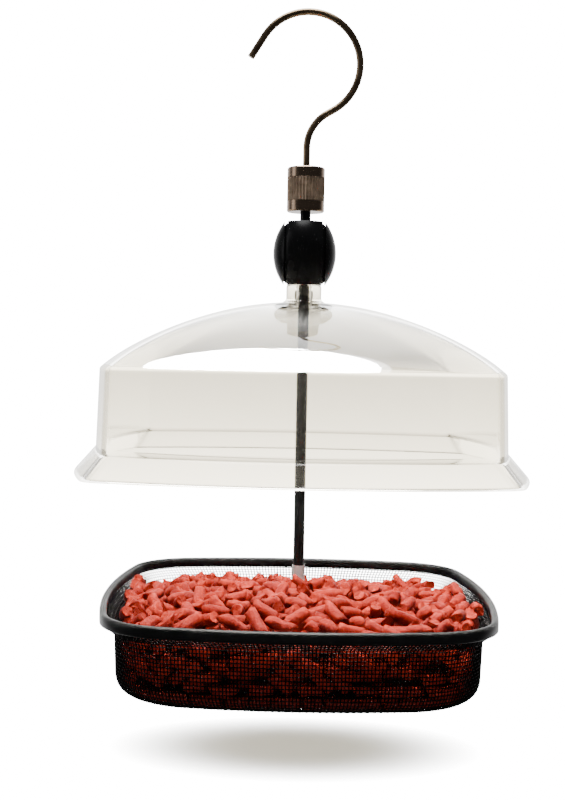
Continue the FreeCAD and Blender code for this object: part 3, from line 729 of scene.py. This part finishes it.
def streak_effect():
    """Fine turning or drawing marks: noise drawn out along one way."""
    tree, given, result = effect(
        "streaks",
        {"Along": ("f", 20.0), "Across": ("f", 2500.0), "Light": ("c", (1, 1, 1, 1)),
         "Dark": ("c", (0, 0, 0, 1)), "Gloss low": ("f", 0.2), "Gloss high": ("f", 0.4)},
        {"Colour": "c", "Roughness": "f", "Height": "f"},
    )
    ways = {"X": given["Along"], "Y": given["Along"], "Z": given["Across"]}
    stretch = add_node(tree, "ShaderNodeCombineXYZ", ways).outputs[0]
    product = {0: surface_place(tree), 1: stretch}
    scaled = add_node(tree, "ShaderNodeVectorMath", product, operation="MULTIPLY").outputs[0]
    marks = noise(tree, scaled, 1.0, 4.0)
    tree.links.new(mixed(tree, marks, given["Dark"], given["Light"]), result["Colour"])
    tree.links.new(ranged(tree, marks, given["Gloss low"], given["Gloss high"]), result["Roughness"])
    tree.links.new(marks, result["Height"])
    return tree


def new_material(name):
    """A material with its node tree and its shader."""
    made = bpy.data.materials.new(name)
    made.use_nodes = True
    return made, made.node_tree, made.node_tree.nodes["Principled BSDF"]


def add_relief(tree, shader, height, strength, distance):
    """Bump from a height, in metres."""
    inputs = {"Height": height, "Strength": strength, "Distance": distance}
    tree.links.new(add_node(tree, "ShaderNodeBump", inputs).outputs[0], shader.inputs["Normal"])


def finish_material(name, group, values, bump, sockets):
    """A material whose colour, roughness and bump come from a shared effect."""
    made, tree, shader = new_material(name)
    source = add_node(tree, "ShaderNodeGroup", node_tree=group)
    for key, value in values.items():
        source.inputs[key].default_value = value
    tree.links.new(source.outputs["Colour"], shader.inputs["Base Color"])
    tree.links.new(source.outputs["Roughness"], shader.inputs["Roughness"])
    add_relief(tree, shader, source.outputs["Height"], bump, 0.0001)
    for key, value in sockets.items():
        shader.inputs[key].default_value = value
    return made


def suet_material():
    """Greasy red suet with pale flecks, lighter where a pellet broke, with painted shade that darkens it low
    in the tray.
    """
    made, tree, shader = new_material("suet")
    place = surface_place(tree)
    tone = add_node(tree, "ShaderNodeAttribute", attribute_name="tone").outputs["Fac"]
    broken = add_node(tree, "ShaderNodeAttribute", attribute_name="broken").outputs["Fac"]
    grain = noise(tree, place, 900.0, 6.0, 0.65)
    fleck = add_node(tree, "ShaderNodeTexVoronoi", {"Vector": place, "Scale": 700.0}).outputs["Distance"]
    flecks = remapped(tree, fleck, 0.05, 0.28, 1.0, 0.0)
    body = mixed(tree, tone, (0.118, 0.0045, 0.0017, 1), (0.19, 0.0105, 0.0042, 1))
    marked = mixed(tree, ranged(tree, grain, 0.0, 0.6), body, (0.07, 0.004, 0.002, 1))
    speckled = mixed(tree, ranged(tree, flecks, 0.0, 0.16), marked, (0.31, 0.048, 0.022, 1))
    ends = mixed(tree, ranged(tree, broken, 0.0, 0.3), speckled, (0.26, 0.021, 0.009, 1))
    # Painted shade: from the rim's foot down to the tray's floor the pellets darken to near black
    height = add_node(tree, "ShaderNodeSeparateXYZ", {0: place}).outputs["Z"]
    painted_shade_low = remapped(tree, height, RIM_LOW_Z * MM, TRAY_LOW_Z * MM)
    tree.links.new(mixed(tree, painted_shade_low, ends, (0.02, 0.001, 0.0005, 1)), shader.inputs["Base Color"])
    tree.links.new(ranged(tree, grain, 0.42, 0.62), shader.inputs["Roughness"])
    shader.inputs["Specular IOR Level"].default_value = 0.05
    add_relief(tree, shader, grain, 0.9, 0.0008)
    return made


def clear_material(mottle):
    """Clear moulding with a faint warm tint; light on its way to the tray passes through it."""
    made = finish_material(
        "clear_moulding", mottle,
        {"Scale": 40.0, "Light": (1.0, 0.995, 0.975, 1), "Dark": (0.985, 0.975, 0.945, 1),
         "Gloss low": 0.015, "Gloss high": 0.04, "Grain scale": 300.0},
        0.02, {"Transmission Weight": 1.0, "IOR": 1.49},
    )
    tree = made.node_tree
    shader = tree.nodes["Principled BSDF"]
    passing = add_node(tree, "ShaderNodeBsdfTransparent", {"Color": (0.93, 0.92, 0.89, 1)})
    path = add_node(tree, "ShaderNodeLightPath").outputs
    deep = maths(tree, "GREATER_THAN", path["Ray Depth"], 5.5)
    straight = maths(tree, "MAXIMUM", path["Is Shadow Ray"], deep)
    mix = add_node(tree, "ShaderNodeMixShader", {0: straight, 1: shader.outputs[0], 2: passing.outputs[0]})
    tree.links.new(mix.outputs[0], tree.nodes["Material Output"].inputs["Surface"])
    return made


def area_light(name, place, target, size, power, shape="RECTANGLE"):
    """Soft box at a place in millimetres, aimed at a target."""
    data = bpy.data.lights.new(name, "AREA")
    data.shape = shape
    data.size = size[0] * MM
    data.size_y = size[1] * MM
    data.energy = power
    made = add_object(name, data)
    made.location = Vector(place) * MM
    made.rotation_euler = (Vector(target) - Vector(place)).to_track_quat("-Z", "Y").to_euler()
    return made


def light_only(light, made):
    """Let a light fall on one object alone."""
    lit = bpy.data.collections.new(f"{light.name}_only")
    lit.objects.link(made)
    light.light_linking.receiver_collection = lit


def backdrop():
    """White surround: full to the eye, softer through the dome, in reflections bright only from behind."""
    world = bpy.data.worlds.new("white_surround")
    bpy.context.scene.world = world
    world.use_nodes = True
    tree = world.node_tree
    path = add_node(tree, "ShaderNodeLightPath").outputs
    way = add_node(tree, "ShaderNodeTexCoord").outputs["Generated"]
    axes = add_node(tree, "ShaderNodeSeparateXYZ", {0: way}).outputs
    back = axes["Y"]
    height = axes["Z"]
    behind = remapped(tree, back, 0.2, 0.95, interpolation_type="SMOOTHSTEP")
    mirrored = ranged(tree, behind, 0.06, remapped(tree, height, 0.15, 0.5, 2.4, 0.9))
    upper = remapped(tree, height, 0.035, 0.0, 0.15, 2.35)
    lower = maths(tree, "POWER", remapped(tree, height, 0.0, -0.13), 1.5)
    seen_behind = maths(tree, "MULTIPLY_ADD", lower, 4.3, upper)
    seen_ahead = remapped(tree, back, -0.7, -0.2, 0.6, 1.6)
    entered = maths(tree, "GREATER_THAN", path["Transmission Depth"], 0.5)
    through = maths(tree, "SUBTRACT", entered, path["Diffuse Depth"], use_clamp=True)
    strength = ranged(tree, path["Is Glossy Ray"], 0.8, mirrored)
    strength = ranged(tree, through, strength, ranged(tree, behind, seen_ahead, seen_behind))
    strength = ranged(tree, path["Is Camera Ray"], strength, 17.5)
    sky = tree.nodes["Background"].inputs
    tree.links.new(strength, sky["Strength"])
    tree.links.new(mixed(tree, through, (1, 1, 1, 1), (1.0, 0.92, 0.73, 1)), sky["Color"])


def ground():
    """Pale floor under the feeder, an oval that fades into the white surround; it is lit evenly, and its grey
    against the surround is a painted shadow of the feeder.
    """
    turns = np.linspace(0, FULL_TURN, 96, endpoint=False)
    rings = [circle(radius, GROUND_Z, turns) for radius in (0.01, FLOOR_R / 2, FLOOR_R)]
    made = piece("floor", np.concatenate(rings), loft_faces(len(rings), len(turns), False))
    # Painted shadow: the pad's warm grey gives the shadow's tone and its fading oval gives the shadow's
    # outline
    paint, tree, shader = new_material("painted_shadow_floor")
    shader.inputs["Base Color"].default_value = (0.87, 0.81, 0.66, 1)
    shader.inputs["Roughness"].default_value = 0.9
    shader.inputs["Specular IOR Level"].default_value = 0.0
    spread = (1 / FLOOR_HALF_W / MM, 1 / FLOOR_HALF_D / MM, 0)
    product = {0: surface_place(tree), 1: spread}
    flat = add_node(tree, "ShaderNodeVectorMath", product, operation="MULTIPLY").outputs[0]
    far = add_node(tree, "ShaderNodeVectorMath", {0: flat}, operation="LENGTH").outputs["Value"]
    fall = maths(tree, "POWER", far, FLOOR_FADE)
    tree.links.new(maths(tree, "SUBTRACT", 1.0, fall, use_clamp=True), shader.inputs["Alpha"])
    made.data.materials.append(paint)
    return made


def camera():
    """Camera level with the dome's crown, looking a little down, as in the photograph."""
    data = bpy.data.cameras.new("camera")
    data.sensor_fit = "VERTICAL"
    data.sensor_height = CAMERA_SENSOR
    data.lens = CAMERA_LENS
    data.clip_start = CAMERA_NEAR
    made = add_object("camera", data)
    turn = Matrix.Rotation(math.radians(CAMERA_TURN), 4, "Z")
    pitch = Matrix.Rotation(math.radians(90 - CAMERA_DOWN), 4, "X")
    roll = Matrix.Rotation(math.radians(CAMERA_ROLL), 4, "Z")
    made.matrix_world = Matrix.Translation(Vector(CAMERA_PLACE) * MM) @ turn @ pitch @ roll
    bpy.context.scene.camera = made


def dress(objects, paint, body=None, replaced=()):
    """Give pieces their material; new ones also get their body, and the nodes they stand for are hidden."""
    for made in objects:
        made.data.materials.clear()
        made.data.materials.append(paint)
        if body:
            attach(made, body)
        if replaced:
            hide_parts(*replaced)


mottle = mottle_effect()
streaks = streak_effect()
bronze_wire = finish_material(
    "bronze_wire", mottle,
    {"Scale": 160.0, "Light": (0.26, 0.19, 0.12, 1), "Dark": (0.11, 0.08, 0.05, 1),
     "Gloss low": 0.24, "Gloss high": 0.36},
    0.1, {"Metallic": 1.0},
)
bronze_turned = finish_material(
    "bronze_turned", streaks,
    {"Along": 30.0, "Across": 3000.0, "Light": (0.3, 0.22, 0.16, 1), "Dark": (0.15, 0.1, 0.07, 1),
     "Gloss low": 0.2, "Gloss high": 0.3},
    0.06, {"Metallic": 1.0},
)
bronze_knurled = finish_material(
    "bronze_knurled", mottle,
    {"Scale": 400.0, "Light": (0.32, 0.24, 0.17, 1), "Dark": (0.18, 0.125, 0.085, 1),
     "Gloss low": 0.4, "Gloss high": 0.55},
    0.1, {"Metallic": 0.7},
)
plated_steel = finish_material(
    "plated_steel", streaks,
    {"Light": (0.42, 0.42, 0.41, 1), "Dark": (0.28, 0.28, 0.275, 1), "Gloss low": 0.35, "Gloss high": 0.5},
    0.05, {"Metallic": 0.5},
)
black_metal = finish_material(
    "black_metal", mottle,
    {"Scale": 90.0, "Light": (0.005, 0.005, 0.005, 1), "Dark": (0.002, 0.002, 0.002, 1),
     "Gloss low": 0.3, "Gloss high": 0.42, "Grain scale": 3000.0},
    0.06, {"Specular IOR Level": 0.17},
)
black_mesh = finish_material(
    "black_mesh", mottle,
    {"Scale": 300.0, "Light": (0.004, 0.0035, 0.0035, 1), "Dark": (0.001, 0.001, 0.001, 1),
     "Gloss low": 0.5, "Gloss high": 0.65},
    0.05, {"Specular IOR Level": 0.05},
)
black_plastic = finish_material(
    "black_plastic", mottle,
    {"Scale": 70.0, "Light": (0.0035, 0.0035, 0.0037, 1), "Dark": (0.0018, 0.0018, 0.002, 1),
     "Gloss low": 0.2, "Gloss high": 0.3},
    0.03, {"Specular IOR Level": 0.06},
)
clear_moulding = clear_material(mottle)
suet = suet_material()

camera()
backdrop()
floor = ground()

# Nodes that keep their shape
for paint, names in (
    (bronze_wire, ("hook",)),
    (bronze_turned, ("collar_upper_cap", "collar_lower_cap")),
    (bronze_knurled, ("collar_sleeve",)),
    (plated_steel, ("swivel_washer", "rod_nut", "neck_clip", "tray_post")),
    (plated_steel, ("base_plate", "base_disc", "base_screw")),
    (black_metal, ("rod",)),
    (black_plastic, ("lock_body", "lock_button_left", "lock_button_right")),
):
    dress([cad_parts[name] for name in names], paint)

# Pieces that stand for nodes
lock_spring(-1, "lock_spring_left", "press_left")
lock_spring(1, "lock_spring_right", "press_right")
clear_dome = dome_shell()
dress([clear_dome], clear_moulding, "dome", ("dome",))
dress([rim_band()], black_metal, "frame", ("tray_rim",))
dress([basket_walls(), basket_floor()], black_mesh, "frame", ("tray_basket",))
pellets = feed_pellets()
dress([pellets], suet, "frame", ("feed",))

# Two boxes light everything, and the others one object each
area_light("top_box", (-40, 15, 365), (-40, 15, GROUND_Z), (330, 390), 6.6, "ELLIPSE")
area_light("left_box", (-700, -100, 100), (0, 0, -150), (300, 700), 1.5)
light_only(area_light("floor_box", (0, -700, -150), (0, 0, GROUND_Z), (600, 200), 21), floor)
light_only(area_light("feed_fill", (0, -800, -420), (0, 0, -245), (600, 300), 26), pellets)
shine = area_light("shine_box", (-54, 15, 366), (-54, 15, GROUND_Z), (330, 390), 100, "ELLIPSE")
sky = area_light("sky_box", (0, 430, 400), (0, -40, -118), (1600, 780), 27)
for light in (shine, sky):
    light_only(light, clear_dome)
    light.visible_camera = False
    light.visible_transmission = False
    light.visible_diffuse = False
